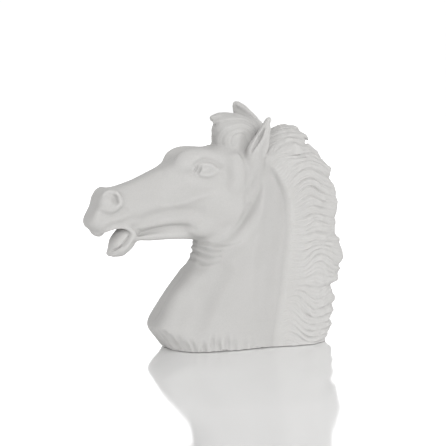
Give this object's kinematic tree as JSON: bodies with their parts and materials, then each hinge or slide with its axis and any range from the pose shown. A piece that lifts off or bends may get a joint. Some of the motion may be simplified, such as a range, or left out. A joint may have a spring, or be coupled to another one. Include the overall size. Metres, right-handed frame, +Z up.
{
  "type": "horse head sculpture",
  "caption": "Free-standing cast horse head and neck with open mouth, pricked ears, forelock and wavy mane, ending in a rough cut edge it stands on.",
  "frame": {"origin": "middle of the rubber pad's underside, on the ground", "axes": "+Z up, the nose points to -Y, the horse's left side is +X"},
  "size_m": [0.1878, 0.5507, 0.4759],
  "materials": {
    "cast_marble": "matte warm-white cast marble composite, finely rubbed",
    "dowel_steel": "plain drawn bar",
    "laminate": "glass-fibre laminate, resin rich",
    "pine": "sawn",
    "screw_steel": "zinc plated",
    "plywood": "sealed",
    "rubber_pad": "matte sheet"
  },
  "bodies": {
    "root": {"shell_left": "cast_marble", "shell_right": "cast_marble", "lower_jaw": "cast_marble", "tongue": "cast_marble", "ear_left": "cast_marble", "ear_right": "cast_marble", "forelock": "cast_marble", "mane_lower_section": "cast_marble", "mane_middle_section": "cast_marble", "mane_upper_section": "cast_marble", "mane_poll_section": "cast_marble", "ear_dowel_left": "dowel_steel", "ear_dowel_right": "dowel_steel", "forelock_dowel": "dowel_steel", "jaw_dowel_left": "dowel_steel", "jaw_dowel_right": "dowel_steel", "mane_lower_dowel_left": "dowel_steel", "mane_lower_dowel_right": "dowel_steel", "mane_middle_dowel_left": "dowel_steel", "mane_middle_dowel_right": "dowel_steel", "mane_upper_dowel_left": "dowel_steel", "mane_upper_dowel_right": "dowel_steel", "mane_poll_dowel_left": "dowel_steel", "mane_poll_dowel_right": "dowel_steel", "seam_strip": "laminate", "screw_block_1": "pine", "base_screw_1": "screw_steel", "screw_block_2": "pine", "base_screw_2": "screw_steel", "screw_block_3": "pine", "base_screw_3": "screw_steel", "screw_block_4": "pine", "base_screw_4": "screw_steel", "screw_block_5": "pine", "base_screw_5": "screw_steel", "screw_block_6": "pine", "base_screw_6": "screw_steel", "base_board": "plywood", "base_pad": "rubber_pad"}
  },
  "joints": []
}
